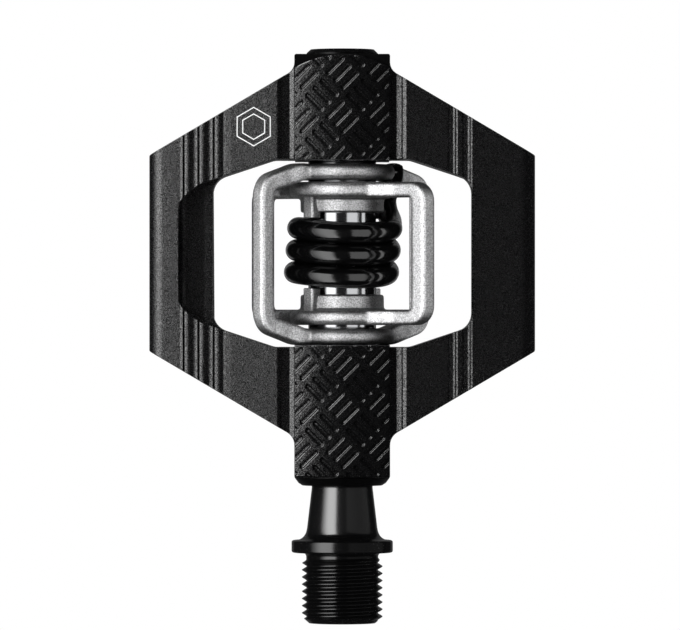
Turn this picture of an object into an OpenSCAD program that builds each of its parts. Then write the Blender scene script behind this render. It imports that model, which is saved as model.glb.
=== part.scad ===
// Clipless pedal, dual sided, right-hand crank.
// Frame: origin on the spindle axis at the crank-side face of the spindle
// flange, +Y outboard along the spindle, +X towards the rear, +Z up.
// All sizes are in millimetres.

/* [Pedal body] */
// Distance from the crank seat to the middle of the wing mechanism
center_y = 53; // [52:0.5:54]
// Half width of the aluminium body, front to rear
body_half_w = 34.1; // [33:0.1:36]
// Half length of the straight side edges
side_half_l = 17.3; // [16.5:0.1:18]
// Slope of the slanted body edges, rise over run
edge_slope = 0.587; // [0.55:0.005:0.62]
// Half width of the centre boss
boss_half_w = 8.43; // [8.4:0.01:8.8]
// Half thickness of the centre boss
boss_half_t = 7.95; // [7.9:0.01:8]
// Outboard end of the boss, from the middle
boss_out = 35.1; // [34.8:0.1:36]
// Inboard end of the boss, from the middle
boss_in = 39.5; // [39.3:0.1:39.5]

/* [Opening] */
// Half width of the through opening
open_half_w = 22.9; // [22:0.1:24]
// Half length of the through opening
open_half_l = 16.57; // [16.5:0.01:17]
// Where the slanted opening edge starts, from the axis
open_flat = 12; // [11:0.1:13]
// Slope of the slanted opening edges
open_slope = 0.333; // [0.3:0.005:0.36]

/* [Spindle] */
// Crest radius of the crank thread (9/16 in, 20 per inch)
thread_r = 7.1; // [7.05:0.01:7.14]
// Root radius of the crank thread
thread_root = 6.42; // [6.35:0.01:6.5]
// Thread pitch
thread_pitch = 1.27; // [1.27:0.01:1.27]
// Flange radius
flange_r = 9.0; // [8.8:0.1:9.5]
// Flange thickness
flange_t = 2.2; // [2:0.1:2.4]
// Width across flats of the hex socket in the thread end
hex_flats = 8; // [6:1:8]

/* [Wings] */
// Distance of the outer wing's bars from the axis
bar_r = 17.5; // [17:0.1:18]
// Half thickness of the outer wing's bars
bar_half_t = 1.6; // [1.5:0.1:1.9]
// Distance of the inner wing's bars from the axis
in_bar_r = 17.8; // [17:0.1:18]
// Half thickness of the inner wing's bars
in_bar_half_t = 1.75; // [1.5:0.05:1.9]
// Angle of the outer wing about the axis
outer_angle = 142.7; // [138:0.1:146]
// Angle of the inner wing about the axis
inner_angle = 37; // [34:0.1:42]
// Radius of the wing hubs
hub_r = 9.4; // [9:0.1:9.4]
// Radius of the pivot sleeve
sleeve_r = 6.0; // [5.9:0.1:6]

/* [Spring] */
// Wire radius
wire_r = 1.92; // [1.7:0.01:1.92]
// Mean coil radius
coil_r = 8.28; // [8.28:0.01:8.4]
// Coil pitch
coil_pitch = 3.9; // [3.88:0.01:3.95]

/* [Outboard bearing] */
// Bearing bore radius
bearing_bore_r = 3.0; // [3:0.1:3]
// Bearing outer radius
bearing_outer_r = 6.5; // [6.5:0.1:6.5]
// Bearing width
bearing_w = 5.0; // [5:0.1:5]
// Number of balls
ball_count = 9; // [7:1:9]

/* [Hidden] */
round_fn = 96;
slide_gap = 0.01;              // radial clearance of close fits
loose_gap = 0.05;              // clearance of the wings and pads
bearing_y = 76;                // inboard face of the bearing
ball_y = bearing_y + bearing_w / 2;
boss_y0 = center_y - boss_in;
boss_y1 = center_y + boss_out;

// ---- shared helpers; "y" solids lie along the spindle axis ----
// Turn children's Z axis onto +Y and move them to y
module along_y(y = 0) { translate([0, y, 0]) rotate([-90, 0, 0]) children(); }
// Revolve a [radius, y] profile
module rev_y(profile) { along_y() rotate_extrude($fn = round_fn) polygon(profile); }
module cyl_y(r, y0, y1) { along_y(y0) cylinder(r = r, h = y1 - y0, $fn = round_fn); }
module tube_y(inner_r, outer_r, y0, y1) {
    rev_y([[inner_r, y0], [outer_r, y0], [outer_r, y1], [inner_r, y1]]);
}
module hex_y(flats, y0, h) { along_y(y0) cylinder(r = flats / sqrt(3), h = h, $fn = 6); }
module torus_y(ring_r, section_r, y, section_fn) {
    along_y(y) rotate_extrude($fn = round_fn) translate([ring_r, 0]) circle(r = section_r, $fn = section_fn);
}
// Extrude an XZ profile from y0 to y1
module extrude_xz(profile, y0, y1) {
    translate([0, y1, 0]) rotate([90, 0, 0]) linear_extrude(height = y1 - y0) polygon(profile);
}
// Extrude an XY outline, with y taken from the middle of the mechanism
module extrude_plan(outline, z0, z1) {
    translate([0, 0, z0]) linear_extrude(height = z1 - z0)
        polygon([for (p = outline) [p[0], p[1] + center_y]]);
}
// Children as they are, and again half a turn about the axis
module both_sides() { for (turn = [0, 180]) rotate([0, turn, 0]) children(); }

function arc(cx, cy, r, a0, a1, steps) =
    [for (i = [0:steps]) let (a = a0 + (a1 - a0) * i / steps) [cx + r * cos(a), cy + r * sin(a)]];
function half_turn(pts) = [for (p = pts) [-p[0], -p[1]]];
// Mirrored copies run backwards, so that they join up with the original
function mirror_x(pts) = [for (i = [len(pts) - 1:-1:0]) [-pts[i][0], pts[i][1]]];
function mirror_y(pts) = [for (i = [len(pts) - 1:-1:0]) [pts[i][0], -pts[i][1]]];
// Closed outline from a quarter for +Y and a quarter for -Y, both given at +X +Y
function four_quarters(pos, neg) =
    concat(pos, mirror_x(pos), half_turn(neg), half_turn(mirror_x(neg)));

// ---- spindle ----
groove_count = 8;
groove_y = -1.84;              // groove nearest the flange
crest_half_w = 0.53;           // half width of a groove at the crest
root_half_w = 0.09;            // half width of a groove at the root
thread_pts = [for (i = [groove_count - 1:-1:0]) let (y = groove_y - thread_pitch * i)
    for (p = [[thread_r, y - crest_half_w], [thread_root, y - root_half_w],
              [thread_root, y + root_half_w], [thread_r, y + crest_half_w]]) p];
flange_chamfer = 0.25;
journal_r = bearing_bore_r - slide_gap;
// [radius, y]
spindle_profile = concat(
    [[0, -12.5], [6.0, -12.5], [thread_r, -11.4]],
    thread_pts,
    [[thread_r, -1.2], [6.6, -0.9], [6.6, -0.6], [7.2, 0],
     [flange_r - flange_chamfer, 0], [flange_r, flange_chamfer],
     [flange_r, flange_t - flange_chamfer], [flange_r - flange_chamfer, flange_t],
     [7.7, flange_t], [6.85, 2.75], [6.45, 3.5], [6.36, 4.1], [5.42, 11.4], [5.42, 12.4],
     [4.97, 12.9], [4.97, 31.5], [4.4, 33.5], [4.2, 72.5], [3.8, 74],
     [3.8, bearing_y - 0.01], [journal_r, bearing_y - 0.01], [journal_r, 81],
     [2.5, 81.2], [2.5, 85.3], [2.2, 85.7], [0, 85.7]]);

module spindle() color("#2b2b2d") difference() {
    rev_y(spindle_profile);
    hex_y(hex_flats, y0 = -12.6, h = 8.6);
}

// ---- outboard bearing ----
ball_pitch_r = (bearing_bore_r + bearing_outer_r) / 2;
ball_r = 0.94;
track_r = 0.97;                // section radius of the ball track
pocket_r = 0.98;

module at_balls() { for (i = [0:ball_count - 1]) rotate([0, i * 360 / ball_count, 0]) children(); }
module race(inner_r, outer_r) difference() {
    tube_y(inner_r, outer_r, bearing_y, bearing_y + bearing_w);
    torus_y(ball_pitch_r, track_r, ball_y, section_fn = 48);
}
module bearing_inner_race() color("#c9ccd0") race(bearing_bore_r, 4.0);
module bearing_outer_race() color("#b9bcc0") race(5.5, bearing_outer_r);
module bearing_balls() color("#e3e6ea") at_balls()
    translate([ball_pitch_r, ball_y, 0]) sphere(r = ball_r, $fn = 32);
module ball_cage() color("#a98b4d") difference() {
    tube_y(inner_r = 4.3, outer_r = 5.2, y0 = ball_y - 1.35, y1 = ball_y + 1.35);
    at_balls() translate([3, ball_y, 0]) rotate([0, 90, 0]) cylinder(r = pocket_r, h = 4, $fn = 32);
}
shield_inset = 0.06;
shield_t = 0.22;
module bearing_shields() color("#8f9296")
    for (y = [bearing_y + shield_inset, bearing_y + bearing_w - shield_inset - shield_t])
        tube_y(inner_r = 4.08, outer_r = 5.46, y0 = y, y1 = y + shield_t);

// ---- washer and nut outboard of the bearing ----
nut_y0 = 81.87;
nut_t = 3.2;
nut_y1 = nut_y0 + nut_t;
module nut_washer() color("#a9adb1") tube_y(inner_r = 2.55, outer_r = 3.9, y0 = 81.25, y1 = 81.85);
module lock_nut() color("#b4b8bc") difference() {
    intersection() {
        hex_y(flats = 8, y0 = nut_y0, h = nut_t);
        // rounds off the hex corners
        rev_y([[0, nut_y0], [4.1, nut_y0], [4.62, 82.2], [4.62, 84.7], [4.1, nut_y1], [0, nut_y1]]);
    }
    cyl_y(r = 2.52, y0 = 81, y1 = 86);
}

// ---- body plan, from the middle of the mechanism ----
// Concave fillet between the slanted edge and the boss side
fillet_r = 2.5;
edge_angle = atan(edge_slope);
fillet_x = boss_half_w + fillet_r;
fillet_y = side_half_l + (body_half_w - fillet_x) * edge_slope + fillet_r / cos(edge_angle);
body_quarter = concat([[body_half_w, 0], [body_half_w, side_half_l]],
    arc(fillet_x, fillet_y, fillet_r, 270 - edge_angle, 180, 5));
body_plan = four_quarters(concat(body_quarter, [[boss_half_w, boss_out]]),
                          concat(body_quarter, [[boss_half_w, boss_in]]));

// ---- body section, XZ ----
edge_r = 2.1;                  // rounding of the front and rear edges
function face_z(x) = 7.4 - 0.0875 * (abs(x) - 11.3);
function on_face(table) = [for (p = table) [p[0], face_z(p[0]) + p[1]]];
front_edge = [for (i = [0:5]) let (a = i * 17, x = body_half_w - edge_r * (1 - cos(a)))
    [-x, face_z(x) - edge_r * (1 - sin(a))]];
// [x, height above the sloping face]
front_flutes = [
    [-28.5, 0], [-28.15, 0.1], [-28, -0.36], [-27.08, 0.1], [-26.25, -0.22], [-25.45, 0.13],
    [-25.28, -0.34], [-24.45, 0.1], [-23.55, -0.22], [-22.75, 0.13], [-22.58, -0.34],
    [-21.6, 0.12], [-20.75, -0.14]];
rear_flutes = [
    [18.62, 0], [18.85, -0.15], [19.55, -0.13], [20.38, 0], [21.2, 0], [21.4, -0.15],
    [22.15, -0.13], [22.97, 0]];
// [x, z] over the boss and the valleys beside it
boss_top = [
    [-11.3, 7.26], [-10.72, 7.03], [-10.45, 7.12], [-9.4, 6.88], [-8.5, 7.2],
    [-boss_half_w, boss_half_t], [boss_half_w, boss_half_t],
    [8.5, 7.28], [9.58, 6.96], [10.45, 7.23], [10.72, 7.16], [11.3, 7.4]];
// Top face from front (-X) to rear (+X); the bottom is the same, half a turn round
top_face = concat(front_edge, on_face(front_flutes), boss_top, on_face(rear_flutes),
    mirror_x(front_edge));
body_section = concat(top_face, half_turn(top_face));

// ---- through opening, with rounded corners ----
corner_r = 3.2;
open_angle = atan(open_slope);
corner_x = open_half_w - corner_r;
corner_y = open_half_l - (corner_x - open_flat) * open_slope - corner_r / cos(open_angle);
open_quarter = concat(arc(corner_x, corner_y, corner_r, 0, 90 - open_angle, 6),
    [[open_flat, open_half_l]]);
open_plan = four_quarters(open_quarter, open_quarter);

// ---- dished scoop in the top face, in front of the opening ----
// [x, y] of the +Y half
scoop_half = [[-17, open_half_l - 5 * open_slope], [-24.0, 12.5], [-25.9, 11.8], [-27.5, 10.5],
              [-28.5, 9.0], [-28.85, 7.2]];
// [x, z]
scoop_section = [[-29.6, 9], [-28.95, 5.4], [-28.4, 4.1], [-27.6, 3.25], [-26.2, 2.75],
                 [-24.2, 2.35], [-19, 2.2], [-19, 9]];
module scoop() intersection() {
    extrude_plan(concat(scoop_half, mirror_y(scoop_half)), 1, 9);
    extrude_xz(scoop_section, center_y - 15, center_y + 15);
}

// ---- body ----
bridge_in = 16.17;             // wing-side face of the pad bridges, from the middle
bridge_out = 17.37;            // body-side face of the pad bridges
pad_half_w = 8.4;
slot_half_w = pad_half_w + loose_gap;
slot_half_l = bridge_out + loose_gap;
// [radius, from y, to y]; neighbouring bores overlap
body_bores = [
    [6.9, boss_y0 - 1, 17.2],
    [6.21, 17, 31],
    [5.4, 30, 33.1],
    [sleeve_r + slide_gap, 33, 73],
    [5.8, 72.9, 76.1],
    [bearing_outer_r + slide_gap, bearing_y, 82],
    [6.9, 81.4, boss_y1 + 1]];

module pedal_frame() color("#202022") difference() {
    intersection() {
        extrude_xz(body_section, boss_y0, boss_y1);
        extrude_plan(body_plan, -10, 10);
    }
    extrude_plan(open_plan, -12, 12);
    translate([-slot_half_w, center_y - slot_half_l, -12]) cube([2 * slot_half_w, 2 * slot_half_l, 24]);
    both_sides() scoop();
    for (bore = body_bores) cyl_y(bore[0], bore[1], bore[2]);
}

// ---- traction pads: a crowned plate on each face, joined by a bridge ----
pad_under = 8.0;               // underside of the plates, from the axis
pad_crown = 9.4;               // top of the plates at the middle
pad_edge = 8.6;                // top of the plates at the sides
bridge_half_h = pad_under + 0.2;
function crown_z(x) = pad_crown - (pad_crown - pad_edge) * x * x / (pad_half_w * pad_half_w);
pad_section = concat([[-pad_half_w, pad_under]],
    [for (i = [0:12]) let (x = -pad_half_w + i * pad_half_w / 6) [x, crown_z(x)]],
    [[pad_half_w, pad_under]]);
tip_r = 17.0;                  // radius of the rounded outboard end
tip_angle = asin(14.8 / tip_r);
out_pad_plan = concat([[-pad_half_w, bridge_in], [pad_half_w, bridge_in]],
    arc(0, 18.0, tip_r, tip_angle, 180 - tip_angle, 12));
in_pad_plan = [[-pad_half_w, -boss_in], [pad_half_w, -boss_in],
               [pad_half_w, -bridge_in], [-pad_half_w, -bridge_in]];

module pad(plan, y0, y1, bridge_y0, bridge_y1) {
    both_sides() intersection() {
        extrude_xz(pad_section, y0, y1);
        extrude_plan(plan, 7, 10);
    }
    difference() {
        translate([-pad_half_w, bridge_y0, -bridge_half_h])
            cube([2 * pad_half_w, bridge_y1 - bridge_y0, 2 * bridge_half_h]);
        cyl_y(sleeve_r + loose_gap, bridge_y0 - 1, bridge_y1 + 1);
    }
}
module outer_traction_pad() color("#161617")
    pad(out_pad_plan, y0 = center_y + bridge_in, y1 = center_y + 36,
        bridge_y0 = center_y + bridge_in, bridge_y1 = center_y + bridge_out);
module inner_traction_pad() color("#161617")
    pad(in_pad_plan, y0 = boss_y0, y1 = center_y - bridge_in,
        bridge_y0 = center_y - bridge_out, bridge_y1 = center_y - bridge_in);

// ---- bushing, seals, end cap and sleeve; profiles are [radius, y] ----
module inner_bushing() color("#c8b98a") tube_y(inner_r = 5.0, outer_r = 6.2, y0 = 17.25, y1 = 30.9);
module lip_seal() color("#3a2622")
    rev_y([[5.02, 14.4], [6.86, 14.4], [6.86, 17.1], [5.9, 17.1], [5.7, 15.6], [5.02, 15.3]]);
module seal_ring() color("#1a1a1b")
    rev_y([[5.75, 11.9], [6.9, 11.9], [8.43, 13.2], [8.43, 13.49], [6.86, 13.49], [6.86, 14.3],
           [5.75, 14.3]]);
module end_cap() color("#2a2a2b") difference() {
    rev_y([[0, 86.4], [5.3, 86.4], [5.3, 83.6], [6.84, 83.6], [6.84, 86.75], [5.93, 86.75],
           [5.93, 87.75], [6.84, 87.75], [6.84, 88.05], [6.35, 88.15], [6.35, 88.5],
           [5.65, 89.2], [0, 89.2]]);
    hex_y(flats = 5, y0 = 87.4, h = 3);
}
module end_cap_o_ring() color("#111111") torus_y(ring_r = 6.42, section_r = 0.46, y = 87.25, section_fn = 32);
module wing_sleeve() color("#d9dbde") tube_y(inner_r = 5.15, outer_r = sleeve_r, y0 = 33.15, y1 = 72.85);

// ---- wings: a flat loop on both sides of the axis, plus hubs ----
// Hub faces, from the middle
out_hub_near = 13;
out_hub_far = 15.8;
in_hub_near = 9.95;
in_hub_far = 12.7;
// Half outlines, [distance along the wing, y from the middle], from the hub to the bar
out_bar_end = bar_r + bar_half_t;
out_loop_outer = [[0, out_hub_far], [12.3, out_hub_far], [16.6, 14.1], [18.4, 12.9], [out_bar_end, 10.6]];
out_loop_inner = [[0, out_hub_near], [9.5, out_hub_near], [bar_r - bar_half_t, 11.2]];
in_bar_end = in_bar_r + in_bar_half_t;
in_loop_outer = [[0, in_hub_far], [in_bar_end - 2.4, in_hub_far], [in_bar_end - 0.7, 12.0],
                 [in_bar_end, 10.3]];
in_loop_inner = [[0, in_hub_near], [in_bar_r - in_bar_half_t, in_hub_near]];

module wing_loop(outer, inner, half_t) both_sides() difference() {
    extrude_plan(concat(outer, mirror_y(outer)), -half_t, half_t);
    extrude_plan(concat(inner, mirror_y(inner)), -half_t - 1, half_t + 1);
}
// Two discs, either side of the middle
module disc_pair(r, near, far) {
    cyl_y(r, center_y + near, center_y + far);
    cyl_y(r, center_y - far, center_y - near);
}
module wing_bore() { cyl_y(sleeve_r + loose_gap, center_y - 18, center_y + 18); }

module outer_wing() color("#b9babc") difference() {
    union() {
        rotate([0, -outer_angle, 0]) wing_loop(out_loop_outer, out_loop_inner, bar_half_t);
        disc_pair(hub_r, out_hub_near, out_hub_far);
    }
    wing_bore();
}

post_angle = 136.6;
post_size = [2.5, 4.4, 2.4];
module inner_wing() color("#aeb0b2") difference() {
    union() {
        rotate([0, -inner_angle, 0]) wing_loop(in_loop_outer, in_loop_inner, in_bar_half_t);
        disc_pair(hub_r, in_hub_near, in_hub_far);
        disc_pair(r = 7.3, near = 7.2, far = 10.5);
        both_sides() rotate([0, -post_angle, 0]) for (y = [6.25, -10.7])
            translate([6.1, center_y + y, -post_size[2] / 2]) cube(post_size);
    }
    wing_bore();
}

// ---- torsion spring: a swept wire, a leg at the outboard end and then the coils ----
function around(r, angle, y) = [r * cos(angle), y, r * sin(angle)];
function coil_y(a) = center_y + 5.475 - coil_pitch * a / 360 - 0.975 * cos(a) - 0.93 * sin(a);
// [radius, angle, y]
leg_table = [[11.9, -42, 63.6], [11.9, -42, 62.4], [11.8, -39, 60.9], [11.0, -32, 59.3], [9.4, -23, 58.3]];
wire_path = concat([for (p = leg_table) around(p[0], p[1], p[2])],
    [for (a = [-14:12:970]) around(coil_r, a, coil_y(a))]);
last = len(wire_path) - 1;
wire_sides = 10;
function unit(v) = v / norm(v);
function tangent(i) = unit(wire_path[min(i + 1, last)] - wire_path[max(i - 1, 0)]);
// Radial direction, squared up to the wire
function normal(i) = let (t = tangent(i), radial = unit([wire_path[i][0], 0, wire_path[i][2]]))
    unit(radial - (radial * t) * t);
wire_points = [for (i = [0:last]) let (n = normal(i), side = cross(tangent(i), n))
    for (k = [0:wire_sides - 1]) let (a = k * 360 / wire_sides)
        wire_path[i] + wire_r * (cos(a) * n + sin(a) * side)];
function corner(i, k) = i * wire_sides + k % wire_sides;
wire_faces = concat(
    [[for (k = [0:wire_sides - 1]) k]],
    [for (i = [0:last - 1]) for (k = [0:wire_sides - 1])
        [corner(i, k), corner(i + 1, k), corner(i + 1, k + 1), corner(i, k + 1)]],
    [[for (k = [wire_sides - 1:-1:0]) corner(last, k)]]);
module torsion_spring() color("#0e0e0f") polyhedron(points = wire_points, faces = wire_faces);

spindle();
bearing_inner_race();
nut_washer();
lock_nut();
bearing_balls();
ball_cage();
pedal_frame();
outer_traction_pad();
inner_traction_pad();
inner_bushing();
lip_seal();
seal_ring();
bearing_outer_race();
bearing_shields();
end_cap();
end_cap_o_ring();
wing_sleeve();
outer_wing();
inner_wing();
torsion_spring();
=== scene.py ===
# A winged bicycle pedal: body casting, four traction pad faces, two wing loops round a sleeve,
# a torsion spring and a threaded spindle.
# The spindle axis is Y: the crank side (inboard) is towards -Y and the end cap is outboard, at +Y.
# The front is -X and the top +Z. Meshes are made in millimetres, and piece() scales them to metres.
import math

import bmesh
import bpy
import numpy as np
from mathutils import Matrix, Vector


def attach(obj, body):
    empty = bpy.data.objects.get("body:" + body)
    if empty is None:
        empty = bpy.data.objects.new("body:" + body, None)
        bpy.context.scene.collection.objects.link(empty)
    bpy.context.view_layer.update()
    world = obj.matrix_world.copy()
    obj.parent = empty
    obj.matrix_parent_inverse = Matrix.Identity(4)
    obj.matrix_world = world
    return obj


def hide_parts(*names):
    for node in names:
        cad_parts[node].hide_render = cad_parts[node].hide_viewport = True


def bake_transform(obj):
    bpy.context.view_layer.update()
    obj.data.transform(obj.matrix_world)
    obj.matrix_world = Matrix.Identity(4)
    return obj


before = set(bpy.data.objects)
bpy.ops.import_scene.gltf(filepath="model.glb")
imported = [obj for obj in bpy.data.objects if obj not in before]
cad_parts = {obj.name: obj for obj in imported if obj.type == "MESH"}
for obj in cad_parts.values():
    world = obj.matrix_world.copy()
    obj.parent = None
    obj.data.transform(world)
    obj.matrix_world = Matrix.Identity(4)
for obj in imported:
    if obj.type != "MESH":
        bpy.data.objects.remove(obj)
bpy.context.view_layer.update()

scene = bpy.context.scene
MM = 0.001
CY = 53.0  # y of the middle of the wing mechanism


# ---------------------------------------------------------------- outlines and mesh helpers (mm)
def fillet(points, steps):
    """Closed polygon [(x, y, radius)] with rounded corners; a missing radius leaves it sharp."""
    out = []
    count = len(points)
    for i in range(count):
        corner = np.array(points[i][:2], float)
        radius = points[i][2] if len(points[i]) > 2 else 0.0
        back = np.array(points[i - 1][:2], float) - corner
        ahead = np.array(points[(i + 1) % count][:2], float) - corner
        len_back, len_ahead = np.linalg.norm(back), np.linalg.norm(ahead)
        if radius <= 0 or len_back < 1e-9 or len_ahead < 1e-9:
            out.append(tuple(corner))
            continue
        back, ahead = back / len_back, ahead / len_ahead
        angle = math.acos(max(-1.0, min(1.0, float(back @ ahead))))
        if angle > math.pi - 0.01:
            out.append(tuple(corner))
            continue
        # the tangent length is held to just under half of each side
        tangent = min(radius / math.tan(angle / 2), 0.48 * len_back, 0.48 * len_ahead)
        radius = tangent * math.tan(angle / 2)
        bisector = (back + ahead) / np.linalg.norm(back + ahead)
        centre = corner + bisector * (radius / math.sin(angle / 2))
        start = math.atan2(*(corner + back * tangent - centre)[::-1])
        end = math.atan2(*(corner + ahead * tangent - centre)[::-1])
        turn = (end - start + math.pi) % (2 * math.pi) - math.pi
        pieces = max(1, int(round(steps * min(1.0, abs(turn) / (math.pi / 2)) + 0.49)))
        for j in range(pieces + 1):
            at = start + turn * j / pieces
            out.append((centre[0] + radius * math.cos(at), centre[1] + radius * math.sin(at)))
    return out


def rectangle(half_x, half_y, mid_y=0.0):
    return [(-half_x, mid_y - half_y), (half_x, mid_y - half_y),
            (half_x, mid_y + half_y), (-half_x, mid_y + half_y)]


def hexagon(radius, turn=0):
    """Hexagon by its corner radius, turned by so many degrees."""
    angles = [math.radians(60 * i + turn) for i in range(6)]
    return [(radius * math.cos(a), radius * math.sin(a)) for a in angles]


def resample(points, step):
    """The same line with evenly spaced points about a step apart."""
    points = np.array(points, float)
    along = np.r_[0, np.cumsum(np.linalg.norm(np.diff(points, axis=0), axis=1))]
    count = max(2, int(along[-1] / step) + 1)
    at = np.linspace(0, along[-1], count)
    return np.stack([np.interp(at, along, column) for column in points.T], axis=1)


def new_mesh(name, verts, faces):
    """Mesh with doubles merged and normals turned outward."""
    mesh = bpy.data.meshes.new(name)
    mesh.from_pydata([tuple(map(float, v)) for v in verts], [],
                     [tuple(map(int, f)) for f in faces])
    mesh.update()
    return fix_normals(mesh)


def fix_normals(mesh):
    bm = bmesh.new()
    bm.from_mesh(mesh)
    bmesh.ops.remove_doubles(bm, verts=bm.verts, dist=1e-5)
    bmesh.ops.recalc_face_normals(bm, faces=bm.faces)
    bm.to_mesh(mesh)
    bm.free()
    return mesh


def prism(outline, low, high, axis="z"):
    """Closed prism of a 2D outline: axis z takes (x, y), axis y takes (x, z)."""
    n = len(outline)
    if axis == "z":
        verts = [(x, y, level) for level in (low, high) for x, y in outline]
    else:
        verts = [(x, level, z) for level in (low, high) for x, z in outline]
    faces = [list(range(n))[::-1], list(range(n, 2 * n))]
    faces += [[i, (i + 1) % n, n + (i + 1) % n, n + i] for i in range(n)]
    return new_mesh("prism", verts, faces)


def revolve(profile, segments):
    """Revolve a closed (radius, y) profile round the Y axis; points at radius 0 become poles."""
    verts, faces, rings = [], [], []
    for radius, y in profile:
        if radius < 1e-6:
            rings.append([len(verts)])
            verts.append((0, y, 0))
            continue
        rings.append([len(verts) + i for i in range(segments)])
        for i in range(segments):
            a = 2 * math.pi * i / segments
            verts.append((radius * math.cos(a), y, radius * math.sin(a)))
    for a, b in zip(rings, rings[1:] + rings[:1]):
        if len(a) == 1 and len(b) == 1:
            continue
        for i in range(segments):
            j = (i + 1) % segments
            if len(a) == 1:
                faces.append([a[0], b[i], b[j]])
            elif len(b) == 1:
                faces.append([a[i], b[0], a[j]])
            else:
                faces.append([a[i], b[i], b[j], a[j]])
    return new_mesh("revolved", verts, faces)


def circle(radius, segments):
    angles = [2 * math.pi * i / segments for i in range(segments)]
    return [(radius * math.cos(a), radius * math.sin(a)) for a in angles]


def rounded_box(half_a, half_b, corner):
    corner = min(corner, half_a * 0.98, half_b * 0.98)
    return fillet([(half_a, -half_b, corner), (half_a, half_b, corner),
                   (-half_a, half_b, corner), (-half_a, -half_b, corner)], 7)


def sweep(path, sections, reference):
    """Capped tube with one (a, b) section per path point. Axis b lies along the reference
    direction (one, or one per point) as far as the path allows, and a is square to it."""
    path = np.array(path, float)
    n = len(path)
    tangents = np.gradient(path, axis=0)
    tangents /= np.linalg.norm(tangents, axis=1)[:, None]
    reference = np.broadcast_to(np.array(reference, float), (n, 3))
    verts = []
    for i in range(n):
        t = tangents[i]
        b = reference[i] - (reference[i] @ t) * t
        b /= np.linalg.norm(b)
        a = np.cross(b, t)
        verts += [path[i] + a * s[0] + b * s[1] for s in sections[i]]
    k = len(sections[0])
    faces = []
    for i in range(n - 1):
        for j in range(k):
            j2 = (j + 1) % k
            faces.append([i * k + j, i * k + j2, (i + 1) * k + j2, (i + 1) * k + j])
    faces.append(list(range(k))[::-1])
    faces.append(list(range((n - 1) * k, n * k)))
    return new_mesh("sweep", verts, faces)


def joined(meshes):
    bm = bmesh.new()
    for mesh in meshes:
        bm.from_mesh(mesh)
    out = bpy.data.meshes.new("joined")
    bm.to_mesh(out)
    bm.free()
    return out


def moved(mesh, matrix):
    mesh = mesh.copy()
    mesh.transform(matrix)
    return mesh


def spun(mesh, degrees):
    """Copy turned about the spindle axis."""
    return moved(mesh, Matrix.Rotation(math.radians(degrees), 4, "Y"))


def temporary(mesh):
    obj = bpy.data.objects.new("tmp", mesh)
    scene.collection.objects.link(obj)
    return obj


def discard(obj):
    mesh = obj.data
    bpy.data.objects.remove(obj)
    if mesh.users == 0:
        bpy.data.meshes.remove(mesh)


def baked(obj):
    """Mesh of an object with its modifiers applied; the object is removed."""
    bpy.context.view_layer.update()
    graph = bpy.context.evaluated_depsgraph_get()
    mesh = bpy.data.meshes.new_from_object(obj.evaluated_get(graph))
    discard(obj)
    return mesh


def boolean(mesh, others, operation="DIFFERENCE"):
    """New mesh; the ones passed in are used up."""
    obj = temporary(mesh)
    cutters = [temporary(other) for other in others]
    for cutter in cutters:
        mod = obj.modifiers.new("boolean", "BOOLEAN")
        mod.operation = operation
        mod.object = cutter
        mod.solver = "EXACT"
    out = baked(obj)
    for cutter in cutters:
        discard(cutter)
    return out


def bevel(mesh, width, segments=2, angle=40):
    obj = temporary(mesh)
    mod = obj.modifiers.new("bevel", "BEVEL")
    mod.width = width
    mod.segments = segments
    mod.limit_method = "ANGLE"
    mod.angle_limit = math.radians(angle)
    mod.use_clamp_overlap = False
    mod.miter_outer = "MITER_ARC"
    return baked(obj)


def fuse(mesh, voxel_size, smoothing):
    """Voxel remesh that melts crossing parts into one skin, then smooths it."""
    obj = temporary(mesh)
    mod = obj.modifiers.new("remesh", "REMESH")
    mod.mode = "VOXEL"
    mod.voxel_size = voxel_size
    mod.adaptivity = 0
    mod = obj.modifiers.new("smooth", "SMOOTH")
    mod.factor = 0.5
    mod.iterations = smoothing
    return baked(obj)


def piece(name, mesh, mat, body="pedal_body", replaces=(), sharp=50, weighted=False):
    """Finished object in metres. sharp is the angle in degrees above which edges stay sharp."""
    mesh.transform(Matrix.Scale(MM, 4))
    mesh.name = name
    mesh.polygons.foreach_set("use_smooth", [True] * len(mesh.polygons))
    if sharp:
        mesh.set_sharp_from_angle(angle=math.radians(sharp))
    mesh.materials.clear()
    mesh.materials.append(mat)
    mesh.update()
    obj = bpy.data.objects.new(name, mesh)
    scene.collection.objects.link(obj)
    if weighted:
        mod = obj.modifiers.new("normals", "WEIGHTED_NORMAL")
        mod.keep_sharp = True
        mod.weight = 100
    if body:
        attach(obj, body)
    if replaces:
        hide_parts(*replaces)
    return obj


def second_material(obj, mat, test):
    """Give the faces that pass the test a second material; the test sees metres."""
    obj.data.materials.append(mat)
    for face in obj.data.polygons:
        if test(face):
            face.material_index = 1


# ---------------------------------------------------------------- shader node helpers
def empty_tree(owner):
    owner.use_nodes = True
    owner.node_tree.nodes.clear()
    return owner.node_tree


def add_node(tree, kind, values=None, **settings):
    """New shader node; values are its unlinked inputs by name or index."""
    node = tree.nodes.new("ShaderNode" + kind)
    for key, value in settings.items():
        setattr(node, key, value)
    for key, value in (values or {}).items():
        node.inputs[key].default_value = value
    return node


def map_range(tree, source, source_range, result_range, **settings):
    values = {"From Min": source_range[0], "From Max": source_range[1],
              "To Min": result_range[0], "To Max": result_range[1]}
    node = add_node(tree, "MapRange", values, **settings)
    tree.links.new(source, node.inputs["Value"])
    return node.outputs[0]


def noise(tree, coords, size, detail, roughness=0.5):
    """Noise with features of a size in mm."""
    values = {"Scale": 1000.0 / size, "Detail": detail, "Roughness": roughness}
    node = add_node(tree, "TexNoise", values)
    tree.links.new(coords, node.inputs["Vector"])
    return node.outputs["Fac"]


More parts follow.
